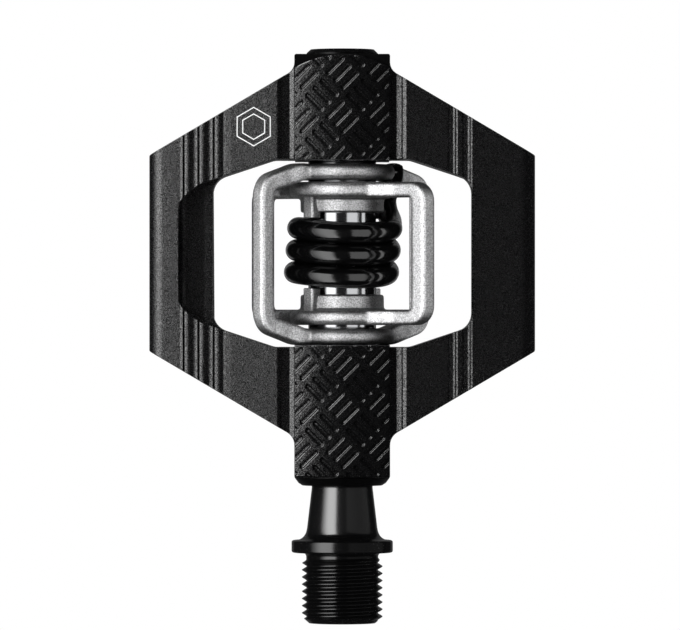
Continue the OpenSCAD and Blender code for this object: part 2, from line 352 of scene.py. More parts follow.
def paint_axis_shade(tree, position, painted_shade_zones, strength):
    """Painted shade round the hubs: multiply a strength by shares that change with the distance
    from the spindle axis.
    """
    flat = add_node(tree, "VectorMath", {1: (1000.0, 0.0, 1000.0)}, operation="MULTIPLY")
    length = add_node(tree, "VectorMath", operation="LENGTH")
    tree.links.new(position, flat.inputs[0])
    tree.links.new(flat.outputs[0], length.inputs[0])
    for (r0, share0), (r1, share1) in zip(painted_shade_zones[:-1], painted_shade_zones[1:]):
        if share0 == share1:
            continue
        step = map_range(tree, length.outputs["Value"], (r0, r1), (share0 / share1, 1.0))
        product = add_node(tree, "Math", operation="MULTIPLY")
        tree.links.new(step, product.inputs[0])
        tree.links.new(strength, product.inputs[1])
        strength = product.outputs[0]
    return strength


def material(name, color, roughness, grain, bump, rough_var, metallic=0.0, color_var=0.0,
             specular=0.5, ior=1.5, fine=None, brush=(1, 1, 1), spec_var=0.0, spec_size=None,
             painted_shade_zones=None):
    """Principled material with procedural grain.

    grain and bump are the size and depth of the grain in mm, and fine the same for smaller
    cells on top. The _var values are the spread about roughness, colour and specular, and
    spec_size is the feature size of the last. brush stretches the grain per axis.
    painted_shade_zones
    are (radius in mm, share of the colour): painted shade that darkens the colour near the spindle
    axis."""
    mat = bpy.data.materials.new(name)
    tree = empty_tree(mat)
    link = tree.links.new
    output = add_node(tree, "OutputMaterial")
    shader = add_node(tree, "BsdfPrincipled", {
        "Base Color": (*color, 1), "Roughness": roughness, "Metallic": metallic,
        "Specular IOR Level": specular, "IOR": ior, "Coat Roughness": 0.1})
    link(shader.outputs[0], output.inputs[0])
    position = add_node(tree, "TexCoord").outputs["Object"]
    mapping = add_node(tree, "Mapping", {"Scale": brush})
    link(position, mapping.inputs[0])
    coords = mapping.outputs[0]

    grain_noise = noise(tree, coords, grain, detail=3, roughness=0.6)
    relief = add_node(tree, "Bump", {"Distance": bump * MM})
    link(grain_noise, relief.inputs["Height"])
    if fine:
        cell_size, cell_depth = fine
        cells = add_node(tree, "TexVoronoi", {"Scale": 1000.0 / cell_size})
        link(coords, cells.inputs["Vector"])
        coarse = relief
        relief = add_node(tree, "Bump", {"Distance": cell_depth * MM})
        link(cells.outputs["Distance"], relief.inputs["Height"])
        link(coarse.outputs[0], relief.inputs["Normal"])
    link(relief.outputs[0], shader.inputs["Normal"])

    spread = (max(0.02, roughness - rough_var), min(1, roughness + rough_var))
    link(map_range(tree, grain_noise, (0.3, 0.7), spread), shader.inputs["Roughness"])
    if spec_var:
        glints = noise(tree, coords, spec_size, detail=2, roughness=0.7)
        spread = (max(0.0, specular - spec_var), specular + spec_var)
        link(map_range(tree, glints, (0.36, 0.66), spread), shader.inputs["Specular IOR Level"])
    if color_var:
        patches = noise(tree, coords, grain * 1.3, detail=2)
        strength = map_range(tree, patches, (0.35, 0.65), (1 - color_var, 1 + color_var))
        tint = add_node(tree, "VectorMath", {0: color}, operation="SCALE")
        # painted shade: the colour is darkened near the spindle axis
        if painted_shade_zones:
            strength = paint_axis_shade(tree, position, painted_shade_zones, strength)
        link(strength, tint.inputs["Scale"])
        link(tint.outputs[0], shader.inputs["Base Color"])
    return mat


# ---------------------------------------------------------------- materials
BLACK = (0.002, 0.002, 0.0021)
PAD_BLACK = (0.0020, 0.0020, 0.0022)
WING_STEEL = dict(color=(0.46, 0.46, 0.465), roughness=0.38, metallic=1.0, grain=0.19, bump=0.056,
                  rough_var=0.10, color_var=0.42, fine=(0.20, 0.016))

M_BODY = material(
    "blasted_black_aluminium", color=(0.0025, 0.0025, 0.0027), roughness=0.26, grain=0.17,
    bump=0.056, rough_var=0.06, color_var=0.3, specular=0.45, fine=(0.16, 0.016), spec_var=0.42,
    spec_size=0.17, ior=1.8)
M_BORE_END = material(
    "machined_black_aluminium", color=BLACK, roughness=0.45, grain=0.3, bump=0.004,
    rough_var=0.06, color_var=0.2, specular=0.06)
M_PAD = material(
    "moulded_black_polymer", color=PAD_BLACK, roughness=0.25, grain=0.22, bump=0.030,
    rough_var=0.07, color_var=0.3, specular=0.36, spec_var=0.34, spec_size=0.24, ior=1.72)
M_PAD_EDGE = material(
    "moulded_slot_wall", color=PAD_BLACK, roughness=0.22, grain=0.30, bump=0.010,
    rough_var=0.05, color_var=0.3, ior=2.3)
# painted shade: the wings' colour is darkened towards the spindle axis, round the hubs
M_WING_O = material("tumbled_stainless_outer", painted_shade_zones=[(9.5, 0.56), (11.5, 1.0)], **WING_STEEL)
M_WING_I = material("tumbled_stainless_inner",
                    painted_shade_zones=[(7.5, 0.56), (8.2, 0.74), (9.5, 0.74), (10.6, 1.0)], **WING_STEEL)
M_SPRING = material(
    "gloss_black_wire", color=(0.0015, 0.0015, 0.0016), roughness=0.13, grain=1.1, bump=0.014,
    rough_var=0.06, color_var=0.2)
M_SLEEVE = material(
    "polished_steel", color=(0.235, 0.238, 0.243), roughness=0.12, metallic=1.0, grain=0.5,
    bump=0.0015, rough_var=0.04, brush=(1, 9, 1))
M_SPINDLE = material(
    "coated_black_steel", color=BLACK, roughness=0.17, grain=0.35, bump=0.003, rough_var=0.05,
    color_var=0.2, brush=(1, 4, 1))
M_JOURNAL = material(
    "polished_black_steel", color=BLACK, roughness=0.20, grain=0.35, bump=0.003,
    rough_var=0.04, color_var=0.2, brush=(1, 4, 1), ior=1.92)
M_CAP = material(
    "turned_black_aluminium", color=BLACK, roughness=0.3, grain=0.25, bump=0.004,
    rough_var=0.06, color_var=0.2, specular=0.10)
M_RING = material(
    "satin_black_polymer", color=BLACK, roughness=0.36, grain=0.3, bump=0.004, rough_var=0.08,
    color_var=0.2, specular=0.08)
M_RUBBER = material(
    "black_rubber", color=(0.012, 0.012, 0.012), roughness=0.6, grain=0.2, bump=0.01,
    rough_var=0.1, color_var=0.2)
M_BEARING = material(
    "ground_bearing_steel", color=(0.62, 0.63, 0.65), roughness=0.16, metallic=1.0, grain=0.3,
    bump=0.001, rough_var=0.06, brush=(1, 6, 1))
M_ZINC = material(
    "zinc_plate", color=(0.55, 0.56, 0.58), roughness=0.3, metallic=1.0, grain=0.3, bump=0.004,
    rough_var=0.1, color_var=0.1)
M_BRASS = material(
    "cage_brass", color=(0.50, 0.36, 0.14), roughness=0.35, metallic=1.0, grain=0.3,
    bump=0.004, rough_var=0.1, color_var=0.1)
M_BUSH = material(
    "bush_polymer", color=(0.55, 0.43, 0.22), roughness=0.5, grain=0.2, bump=0.006,
    rough_var=0.1, color_var=0.1)
M_MARK = material(
    "etched_mark", color=(0.96, 0.96, 0.96), roughness=0.6, grain=0.15, bump=0.004,
    rough_var=0.1, color_var=0.06)

# CAD pieces that are kept as they are
CAD_MATERIALS = {
    "bearing_inner_race": M_BEARING, "bearing_outer_race": M_BEARING, "bearing_balls": M_BEARING,
    "bearing_shields": M_BEARING, "ball_cage": M_BRASS, "nut_washer": M_ZINC,
    "lock_nut": M_ZINC, "inner_bushing": M_BUSH, "lip_seal": M_RUBBER,
    "end_cap_o_ring": M_RUBBER}
for node_name, mat in CAD_MATERIALS.items():
    cad_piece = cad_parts[node_name]
    if not cad_piece.material_slots:
        cad_piece.data.materials.append(mat)
    for material_slot in cad_piece.material_slots:
        material_slot.material = mat

# ---------------------------------------------------------------- body casting
BODY_HALF_X = 34.1
ARM_HALF_X = 8.43       # the arms that reach inboard and outboard along the spindle
PLATFORM_Y = 17.3       # half length at the front and rear edges
PLATFORM_TAPER = 0.587  # growth of that half length per mm towards the arms
SLOPE = 0.0875          # fall of the platforms per mm towards the front and rear edges
SLOPE_X, SLOPE_Z = 11.3, 7.40  # where the slope starts
OPENING_X, OPENING_Y, OPENING_TAPER = 12, 16.57, 0.333  # the opening narrows beyond OPENING_X
END_CUT_Y = CY + 30.5   # the arm's faces are split here, for its second material

# Top outline, (x, height above the slope, corner radius). Front: three flutes between creases.
FRONT_EDGE = [(-BODY_HALF_X, 0, 2.7), (-28.6, 0, 0.3), (-28.12, 0.10, 0.06), (-27.99, -0.40, 0.02)]
FRONT_FLAT = [(-20.6, -0.055, 1.0), (-19.6, 0.0, 2.0), (-11.35, 0, 1.2)]
# Middle: (x, z, corner radius)
MIDDLE = [(-10.66, 7.13, 0.3), (-10.55, 7.06, 0.03), (-9.25, 6.84, 0.05), (-8.5, 7.20, 0.04),
          (-8.46, 7.95, 0), (8.46, 7.95, 0), (8.5, 7.28, 0.04), (9.58, 6.96, 0.12),
          (10.45, 7.23, 0.03), (10.55, 7.15, 0.03), (10.72, 7.16, 0.03), (SLOPE_X, SLOPE_Z, 0.12)]
# Rear: two shallow grooves, each with a narrow one behind it; columns as at the front
REAR = [(18.62, 0, 0.05), (18.85, -0.15, 0.05), (19.55, -0.13, 0.05), (19.88, 0.0, 0.02),
        (19.95, -0.12, 0.02), (20.08, -0.12, 0.02), (20.38, 0, 0.05),
        (21.2, 0, 0.05), (21.4, -0.15, 0.05), (22.15, -0.13, 0.05), (22.48, 0.0, 0.02),
        (22.54, -0.12, 0.02), (22.66, -0.12, 0.02), (22.97, 0, 0.05), (BODY_HALF_X, 0, 2.7)]
# Side view of the scooped hollow, (x, z, corner radius)
SCOOP_SIDE = [(-30.5, 11), (-28.95, 5.4, 0.0), (-28.2, 3.4, 1.4), (-24.5, 2.4, 2.0), (-16, 2.0),
              (-16, 11)]
# Bore along the spindle, (radius, y)
BORE = [(0, 3.0), (6.9, 3.0), (6.9, 17.2), (6.21, 17.2), (6.21, 31), (5.4, 31), (5.4, 33),
        (6.02, 33), (6.02, 73), (5.8, 73), (5.8, 76), (6.52, 76), (6.52, 81.4), (6.95, 81.4),
        (6.95, 95), (0, 95)]


def slope_z(x):
    return SLOPE_Z - SLOPE * (abs(x) - SLOPE_X)


def on_slope(rows):
    return [(x, slope_z(x) + height, radius) for x, height, radius in rows]


def flute(x0, x1, turns=1.0, steps=18):
    """A rounded crest, then a hollow that climbs to the next crease."""
    amplitude, middle = 0.125, -0.02
    return [(x0 + (x1 - x0) * i / steps,
             middle + amplitude * math.sin(2 * math.pi * turns * i / steps), 0)
            for i in range(steps + 1)]


def body_section():
    """Outline in (x, z); the underside is the top turned half round the spindle."""
    front = (FRONT_EDGE + flute(-27.88, -25.46) + [(-25.36, -0.40, 0.02)]
             + flute(-25.24, -22.76) + [(-22.66, -0.40, 0.02)]
             + flute(-22.54, -20.95, turns=0.62, steps=14) + FRONT_FLAT)
    top = on_slope(front) + MIDDLE + on_slope(REAR)
    return fillet(top + [(-x, -z, r) for x, z, r in top], 7)


def plan_outline(points, steps):
    """Fillet a plan given about the middle and put it in place."""
    return [(x, y + CY) for x, y in fillet(points, steps)]


def four_quarters(outboard, inboard):
    """Whole plan from its quarters at +X; inboard ones are given with positive y."""
    return (outboard + [(-x, y, r) for x, y, r in outboard[::-1]]
            + [(-x, -y, r) for x, y, r in inboard] + [(x, -y, r) for x, y, r in inboard[::-1]])


def body_quarter(arm_y, arm_radius):
    shoulder_y = PLATFORM_Y + (BODY_HALF_X - ARM_HALF_X) * PLATFORM_TAPER
    return [(BODY_HALF_X, PLATFORM_Y, 0.45), (ARM_HALF_X, shoulder_y, 2.6),
            (ARM_HALF_X, arm_y, arm_radius)]


def opening_y(x):
    return OPENING_Y - (x - OPENING_X) * OPENING_TAPER


def scoop_mesh():
    """Hollow in the top of the front platform, beside the opening."""
    half = [(-17.0, opening_y(17.0) - 0.02, 0), (-25.2, opening_y(25.2) - 0.05, 2.5),
            (-28.85, 9.2, 3.2)]
    plan = plan_outline(half + [(x, -y, r) for x, y, r in half[::-1]], 10)
    side = prism(fillet(SCOOP_SIDE, 8), CY - 20, CY + 20, "y")
    return boolean(prism(plan, 0.5, 9.5), [side], "INTERSECT")


def body_mesh():
    plan = plan_outline(four_quarters(body_quarter(35.1, 0.35), body_quarter(39.49, 0.2)), 8)
    mesh = boolean(prism(body_section(), CY - 45, CY + 45, "y"), [prism(plan, -11, 11)],
                   "INTERSECT")
    quarter = [(22.9, opening_y(22.9), 3.3), (OPENING_X, OPENING_Y, 3.0)]
    opening = prism(plan_outline(four_quarters(quarter, quarter), 10), -14, 14)
    scoop = scoop_mesh()
    recess = prism(rectangle(8.45, 17.42, CY), -12, 12)
    mesh = boolean(mesh, [opening, scoop, spun(scoop, 180), recess, revolve(BORE, 96)])
    mesh = bevel(fix_normals(mesh), 0.14)
    bm = bmesh.new()
    bm.from_mesh(mesh)
    bmesh.ops.bisect_plane(bm, geom=bm.verts[:] + bm.edges[:] + bm.faces[:],
                           plane_co=(0, END_CUT_Y, 0), plane_no=(0, 1, 0), dist=1e-6)
    bm.to_mesh(mesh)
    bm.free()
    return mesh


body = piece("body_casting", body_mesh(), M_BODY, replaces=["pedal_frame"],
             sharp=36, weighted=True)
second_material(body, M_BORE_END,
                lambda f: f.center.y > END_CUT_Y * MM and abs(f.center.x) < 8.6 * MM)

# ---------------------------------------------------------------- traction pads
PAD_HALF_X = 8.4
PAD_BASE_Z = 7.97
PAD_TOP_Z, PAD_CROWN = 9.4, 0.9  # height on the centre line, and its fall to the long edges
SLOT_PITCH = 1.82                # between the three parallel slots of a group
SLOT_HALF_LENGTH = 1.66          # of a slot's centre line
SLOT_HALF_WIDTH = 0.475
SLOT_WALL = 0.27                 # run of the sloping wall, inside the half width
SLOT_DEPTH = 0.38
# Slot groups: (y direction of the slots, share of the step they sit back, x of the groups)
SLOT_COLUMNS = [(1, 0.0, (-7.15, 0.0, 7.15)), (-1, 0.5, (-3.6, 3.6, -10.75, 10.75))]
PAD_GRID = 0.09
PAD_O_Y, PAD_I_Y = 16.34, -16.17  # the pads' edges nearest the middle, from the middle


def slots_for(first_y, step, low, high):
    """Basket-weave slots as (x, y, y direction), y from the middle."""
    shift = SLOT_PITCH / math.sqrt(2)
    slots = []
    for k in range(-1, 6):
        y = first_y - step * k
        for direction, back, columns in SLOT_COLUMNS:
            for column in columns:
                for j in (-1, 0, 1):
                    slots.append((column + shift * j, y - step * back - direction * shift * j,
                                  direction))
    return [s for s in slots if low - 2.0 < s[1] < high + 2.0]


def pad_face(low_y, high_y_at, slots):
    """Crowned block on a grid, with slots pressed in. high_y_at(x) is its far end."""
    nx = int(2 * PAD_HALF_X / PAD_GRID) + 1
    ny = int((high_y_at(0.0) - low_y) / PAD_GRID) + 1
    across = np.linspace(-PAD_HALF_X, PAD_HALF_X, nx)
    along = np.linspace(0, 1, ny)
    X = np.repeat(across[None, :], ny, 0)
    high_y = np.array([high_y_at(x) for x in across])
    Y = low_y + along[:, None] * (high_y[None, :] - low_y)
    depth = np.zeros_like(X)
    for slot_x, slot_y, direction in slots:
        ux, uy = math.sqrt(0.5), direction * math.sqrt(0.5)
        dx, dy = X - slot_x, Y - slot_y
        nearest = np.clip(dx * ux + dy * uy, -SLOT_HALF_LENGTH, SLOT_HALF_LENGTH)
        distance = np.hypot(dx - nearest * ux, dy - nearest * uy)
        t = np.clip((SLOT_HALF_WIDTH - distance) / SLOT_WALL, 0, 1)
        depth = np.maximum(depth, t * t * (3 - 2 * t))
    Z = PAD_TOP_Z - PAD_CROWN * (X / PAD_HALF_X) ** 2 - SLOT_DEPTH * depth
    # rounded edges: (radius, distance to the edge) for the long edges, then the ends
    for r, inset in ((0.12, PAD_HALF_X - np.abs(X)),
                     (0.3, np.minimum(Y - low_y, high_y[None, :] - Y))):
        q = np.clip(r - inset, 0, r)
        Z = Z - (r - np.sqrt(np.maximum(r * r - q * q, 0)))

    verts = [(X[i, j], Y[i, j] + CY, Z[i, j]) for i in range(ny) for j in range(nx)]
    faces = [[i * nx + j, i * nx + j + 1, (i + 1) * nx + j + 1, (i + 1) * nx + j]
             for i in range(ny - 1) for j in range(nx - 1)]
    rim = (list(range(nx)) + [i * nx + nx - 1 for i in range(1, ny)]
           + [(ny - 1) * nx + j for j in range(nx - 2, -1, -1)]
           + [i * nx for i in range(ny - 2, 0, -1)])
    base, m = len(verts), len(rim)
    verts += [(verts[k][0], verts[k][1], PAD_BASE_Z) for k in rim]
    faces += [[rim[k], base + k, base + (k + 1) % m, rim[(k + 1) % m]] for k in range(m)]
    faces.append([base + k for k in range(m)][::-1])
    return new_mesh("pad_face", verts, faces)


def bridge(low_y, high_y):
    """Plate between the two faces of a pad, with the sleeve's hole."""
    low, high = CY + low_y, CY + high_y
    hole = revolve([(0, low - 1), (6.07, low - 1), (6.07, high + 1), (0, high + 1)], 96)
    plate = boolean(prism(rectangle(PAD_HALF_X, 8.02), low, high, "y"), [hole])
    return bevel(fix_normals(plate), 0.12)


def rounded_end(x):
    """Outboard end of the outer pad: an arc of radius 17."""
    return 18.0 + math.sqrt(max(0.0, 17.0 ** 2 - x * x))


def pad(name, face, plate, replaces):
    mesh = joined([face, spun(face, 180), plate])
    return piece(name, mesh, M_PAD, replaces=[replaces])


outer_pad = pad("outer_pad", pad_face(PAD_O_Y, rounded_end, slots_for(31.7, 7.76, 16, 35)),
                bridge(PAD_O_Y, 17.37), "outer_traction_pad")
inner_pad = pad("inner_pad",
                pad_face(-39.5, lambda x: PAD_I_Y, slots_for(-11.73, 7.77, -39.5, -16)),
                bridge(-17.37, PAD_I_Y), "inner_traction_pad")
for obj in (outer_pad, inner_pad):
    second_material(obj, M_PAD_EDGE,
                    lambda f: 0.25 < abs(f.normal.z) < 0.93 and abs(f.center.z) > 8.0 * MM)

# ---------------------------------------------------------------- turned parts
# Profiles, (radius, y, corner radius)
SLEEVE = [(5.15, 33.15, 0.15), (6.0, 33.15, 0.2), (6.0, 72.85, 0.2), (5.15, 72.85, 0.15)]
SEAL_RING = [(5.75, 11.9, 0.15), (7.05, 11.9, 0.25), (7.75, 12.35, 0.4), (8.38, 13.2, 0.15),
             (8.38, 13.48, 0.05), (6.84, 13.48), (6.84, 14.3), (5.75, 14.3)]
END_CAP = [(0, 86.4), (5.3, 86.4), (5.3, 83.6), (6.84, 83.6), (6.84, 86.75), (5.93, 86.75),
           (5.93, 87.75), (6.84, 87.75), (6.84, 88.05, 0.08), (6.36, 88.1, 0.05),
           (6.3, 88.5, 0.08), (5.62, 89.15, 0.12), (0, 89.15)]
CAP_SOCKET, SPINDLE_SOCKET = 5, 8  # hexagon sockets, across flats


def end_cap_mesh():
    socket = prism(hexagon(CAP_SOCKET / math.sqrt(3)), 87.4, 90, "y")
    return bevel(fix_normals(boolean(revolve(fillet(END_CAP, 4), 160), [socket])), 0.06)


sleeve = piece("pivot_sleeve", revolve(fillet(SLEEVE, 3), 192), M_SLEEVE,
               replaces=["wing_sleeve"])
seal_ring = piece("bevelled_seal_ring", revolve(fillet(SEAL_RING, 4), 160), M_RING,
                  replaces=["seal_ring"])
end_cap = piece("domed_end_cap", end_cap_mesh(), M_CAP, replaces=["end_cap"],
                sharp=40)

# ---------------------------------------------------------------- threaded spindle
THREAD_PITCH = 1.27
THREAD_LOW, THREAD_HIGH = -12.5, -0.9
THREAD_SHIFT = -0.53              # slides the helix along the spindle
CREST_R, ROOT_R, RELIEF_R = 7.14, 6.34, 6.38
RUNOUT_Y = -1.9                   # the thread fades into the relief from here outboard
CHAMFER_Y, CHAMFER_SLOPE = -11.4, 1.15
# Mesh rows of one turn, as shares of the pitch
THREAD_ROWS = [0.0, 0.05, 0.16, 0.27, 0.38, 0.45, 0.5, 0.55, 0.62, 0.73, 0.84, 0.95]
# Relief, flange, neck and shaft, (radius, y)
SHANK = [(RELIEF_R, -0.75), (6.40, -0.55), (6.55, -0.25), (6.85, -0.08), (7.25, 0.0), (8.62, 0.0),
         (8.75, 0.03), (8.87, 0.12), (8.95, 0.22), (8.98, 0.38), (8.98, 1.82), (8.95, 1.98),
         (8.87, 2.09), (8.75, 2.17), (8.62, 2.20), (8.1, 2.22), (7.6, 2.32), (7.15, 2.55),
         (6.78, 2.9), (6.52, 3.3), (6.34, 3.8), (6.22, 4.4), (6.14, 5.1), (5.40, 11.4),
         (5.36, 12.3), (5.25, 12.6), (4.97, 12.8), (4.97, 31.5), (4.4, 33.5), (4.2, 72.5),
         (3.8, 74), (3.8, 75.99), (2.99, 75.99), (2.99, 81), (2.5, 81.2), (2.5, 85.2), (2.2, 85.6)]


def thread_radius(y, angle):
    """Radius of the helical thread, with run-outs at both ends."""
    turn = ((y - THREAD_SHIFT + THREAD_PITCH * angle / (2 * math.pi)) / THREAD_PITCH) % 1.0
    fall = abs(turn - 0.5) * 2  # 0 at the crest, 1 at the root
    fall = min(1.0, max(0.0, (fall - 0.10) / 0.80))  # flat crest and root
    radius = CREST_R - (CREST_R - ROOT_R) * fall
    if y > RUNOUT_Y:
        fade = (y - RUNOUT_Y) / (THREAD_HIGH - RUNOUT_Y)
        radius = radius * (1 - fade) + RELIEF_R * fade
    if y < CHAMFER_Y:
        radius = min(radius, CREST_R - (CHAMFER_Y - y) * CHAMFER_SLOPE)
    return radius


def spindle_mesh():
    seg = 160
    angles = [2 * math.pi * i / seg for i in range(seg)]
    turns = int((THREAD_HIGH - THREAD_LOW) / THREAD_PITCH) + 4
    below = THREAD_LOW - 0.5 * THREAD_PITCH
    start_y = below - ((below / THREAD_PITCH) % 1.0) * THREAD_PITCH + THREAD_SHIFT
    # rows follow the helix, so that crest and root stay crisp; the ends are clamped flat
    rings = []
    for k in range(turns):
        for share in THREAD_ROWS:
            row_y = start_y + (k + share) * THREAD_PITCH
            ys = [min(THREAD_HIGH, max(THREAD_LOW, row_y - THREAD_PITCH * a / (2 * math.pi)))
                  for a in angles]
            rings.append([(thread_radius(y, a), y) for y, a in zip(ys, angles)])
    thread_rings = len(rings)
    rings += [[station] * seg for station in SHANK]
    verts = [(r * math.cos(a), y, r * math.sin(a))
             for ring in rings for a, (r, y) in zip(angles, ring)]

    faces = []
    for j in range(thread_rings - 1):
        a, b = j * seg, (j + 1) * seg
        faces += [[a + i, a + i + 1, b + i + 1, b + i] for i in range(seg - 1)]
        # across the seam a row meets the one a full turn earlier
        a2 = max(0, j - len(THREAD_ROWS)) * seg
        b2 = max(0, j + 1 - len(THREAD_ROWS)) * seg
        if a2 == b2:
            faces.append([a + seg - 1, a2, b + seg - 1])
        else:
            faces.append([a + seg - 1, a2, b2, b + seg - 1])
    for j in range(thread_rings - 1, len(rings) - 1):
        a, b = j * seg, (j + 1) * seg
        faces += [[a + i, a + (i + 1) % seg, b + (i + 1) % seg, b + i] for i in range(seg)]
    last = (len(rings) - 1) * seg
    faces.append(list(range(seg)))
    faces.append([last + i for i in range(seg)][::-1])
    socket = prism(hexagon(SPINDLE_SOCKET / math.sqrt(3), 30), -13.5, -4.0, "y")
    return boolean(new_mesh("spindle", verts, faces), [socket])


spindle = piece("threaded_spindle", spindle_mesh(), M_SPINDLE, body="spindle",
                replaces=["spindle"], sharp=52)
second_material(spindle, M_JOURNAL, lambda f: 3.2 * MM < f.center.y < 13 * MM)

# ---------------------------------------------------------------- torsion spring meshes
WIRE_R = 1.945
WIRE_END_R = 0.35     # rounding of the wire's cut ends
WIRE_SEGMENTS = 36
COIL_R = 8.28
COIL_END = 966        # wire angle where the coils stop, degrees
SPLIT_ANGLE = 630     # wire angle where the two halves of the spring meet
SADDLE_GAP = 0.07
# Upper leg from its free end to the coils, (x, y, z)
LEG = [(8.85, CY + 17.6, -3.9), (8.85, CY + 15.55, -4.35), (9.0, CY + 13.7, -5.4),
       (8.5, CY + 11.9, -7.3), (7.75, CY + 9.9, -8.35), (7.95, CY + 7.7, -7.3),
       (8.6, CY + 5.9, -4.6)]


def coil_point(degrees):
    """Point of the coil; it drops 3.9 mm a turn, leans, and its axis shifts with height."""
    a = math.radians(degrees)
    height = 5.475 - 3.9 * degrees / 360 - 0.975 * math.cos(a) - 0.93 * math.sin(a)
    centre_x = 0.17 + 0.075 * (height - 0.6)
    return (COIL_R * math.cos(a) + centre_x, height + CY, COIL_R * math.sin(a))


def catmull(points, per=10):
    """Catmull-Rom curve from the second point up to, but without, the last but one."""
    points = [np.array(p, float) for p in points]
    out = []
    for i in range(1, len(points) - 2):
        p0, p1, p2, p3 = points[i - 1:i + 3]
        for k in range(per):
            t = k / per
            out.append(0.5 * ((2 * p1) + (-p0 + p2) * t + (2 * p0 - 5 * p1 + 4 * p2 - p3) * t * t
                              + (-p0 + 3 * p1 - 3 * p2 + p3) * t ** 3))
    return out


def wire_sweep(points, radii, segments):
    radial = np.array(points)
    radial[:, 1] = 0.0001
    return sweep(points, [circle(r, segments) for r in radii], radial)


def spring_meshes(path):
    """Upper and lower half of the spring, with rounded wire ends."""
    along = np.cumsum(np.r_[0, np.linalg.norm(np.diff(path, axis=0), axis=1)])
    radii = np.full(len(path), WIRE_R)
    for k in range(len(path)):
        end = min(along[k], along[-1] - along[k])
        if end < WIRE_END_R:
            radii[k] = WIRE_R - WIRE_END_R + math.sqrt(
                max(0, WIRE_END_R ** 2 - (WIRE_END_R - end) ** 2))
    cut = int(np.argmin(np.linalg.norm(path - np.array(coil_point(SPLIT_ANGLE)), axis=1)))
    return (wire_sweep(path[:cut + 2], radii[:cut + 2], WIRE_SEGMENTS),
            wire_sweep(path[cut + 1:], radii[cut + 1:], WIRE_SEGMENTS))


spring_path = resample(catmull(LEG + [coil_point(-8), coil_point(4)])
                       + [coil_point(a) for a in range(-8, COIL_END, 4)], 0.3)
upper_mesh, lower_mesh = spring_meshes(spring_path)

# ---------------------------------------------------------------- wings
VOXEL = 0.125
SMOOTHING = 60
HUB_BORE_R = 6.06
OUTER_ANGLE, INNER_ANGLE, LUG_ANGLE = -142.7, -37, -134.6  # degrees about the spindle
# Half loops from hub to hub, (distance from the axis, y from the middle, corner radius)
OUTER_LOOP = [(7.4, 14.40, 0), (9.8, 14.38, 3.0), (16.64, 12.30, 1.7), (17.42, 10.6, 1.8),
              (17.42, -10.9, 1.8), (16.64, -12.60, 1.7), (9.8, -14.70, 3.0), (7.4, -14.72, 0)]
INNER_LOOP = [(7.4, 11.16, 0), (17.74, 11.16, 2.0), (17.74, -11.31, 2.0), (7.4, -11.31, 0)]


def blend(x, start, end, low, high):
    """Smooth step from low at start to high at end."""
    t = min(1.0, max(0.0, (x - start) / (end - start)))
    t = t * t * (3 - 2 * t)
    return low + (high - low) * t


# half sizes of the bars at a distance from the axis: width in the loop's plane, thickness across
def outer_half_width(u):
    return blend(u, 8.0, 11.5, 1.42, 1.66) - blend(u, 15.5, 17.4, 0.0, 0.08)


def outer_half_thickness(u):
    return blend(u, 8.8, 13.5, 2.35, 1.78) - blend(u, 13.5, 16.5, 0.0, 0.20)


def inner_half_width(u):
    return blend(u, 15.4, 17.6, 1.38, 1.66)


def inner_half_thickness(u):
    return blend(u, 7.4, 13.0, 4.2, 1.76)


def half_loop(stations, half_width, half_thickness, corner):
    root = stations[0][0]
    outline = fillet([(0, stations[0][1], 0)] + stations + [(0, stations[-1][1], 0)], 8)
    points = resample([p for p in outline if p[0] >= root - 1e-6], 0.25)
    path = np.stack([points[:, 0], points[:, 1] + CY, np.zeros(len(points))], 1)
    sections = [rounded_box(half_width(u), half_thickness(u), corner) for u in points[:, 0]]
    return sweep(path, sections, (0, 0, 1))


def hub(y0, y1, radius=9.35, corner=1.25):
    profile = [(HUB_BORE_R, y0 + CY, 0.15), (radius, y0 + CY, corner),
               (radius, y1 + CY, corner), (HUB_BORE_R, y1 + CY, 0.15)]
    return revolve(fillet(profile, 6), 128)


def wing_mesh(loop, angle, hubs):
    return fuse(joined([spun(loop, angle), spun(loop, 180 + angle)] + hubs), VOXEL, SMOOTHING)


def lug(y0, y1):
    """Square lug beside the collar that the spring's end bears on."""
    outline = fillet([(6.6, -1.22, 0.3), (8.75, -1.22, 0.45), (8.75, 1.22, 0.45),
                      (6.6, 1.22, 0.3)], 5)
    mesh = prism(outline, y0 + CY, y1 + CY, "y")
    return spun(bevel(mesh, 0.22, segments=3, angle=50), LUG_ANGLE)


def outer_wing_mesh():
    loop = half_loop(OUTER_LOOP, outer_half_width, outer_half_thickness, 0.75)
    mesh = wing_mesh(loop, OUTER_ANGLE, [hub(12.99, 15.80), hub(-16.08, -13.38)])
    # saddle in the arm where the spring's upper leg sits
    leg_path = spring_path[:60]
    saddle = wire_sweep(leg_path, [WIRE_R + SADDLE_GAP] * len(leg_path), 24)
    return boolean(mesh, [saddle])


def inner_wing_mesh():
    loop = half_loop(INNER_LOOP, inner_half_width, inner_half_thickness, 0.8)
    collar = dict(radius=7.4, corner=0.28)
    mesh = wing_mesh(loop, INNER_ANGLE, [hub(9.70, 12.63), hub(-12.65, -9.95),
                                         hub(7.2, 10.6, **collar), hub(-10.8, -7.27, **collar)])
    lugs = [lug(6.2, 10.4), lug(-10.5, -6.15)]
    return boolean(mesh, lugs + [spun(m, 180) for m in lugs], "UNION")


outer_wing = piece("outer_wing_loop", outer_wing_mesh(), M_WING_O,
                   body="outer_wing", replaces=["outer_wing"], sharp=45)
inner_wing = piece("inner_wing_loop", inner_wing_mesh(), M_WING_I,
                   body="inner_wing", replaces=["inner_wing"], sharp=None)

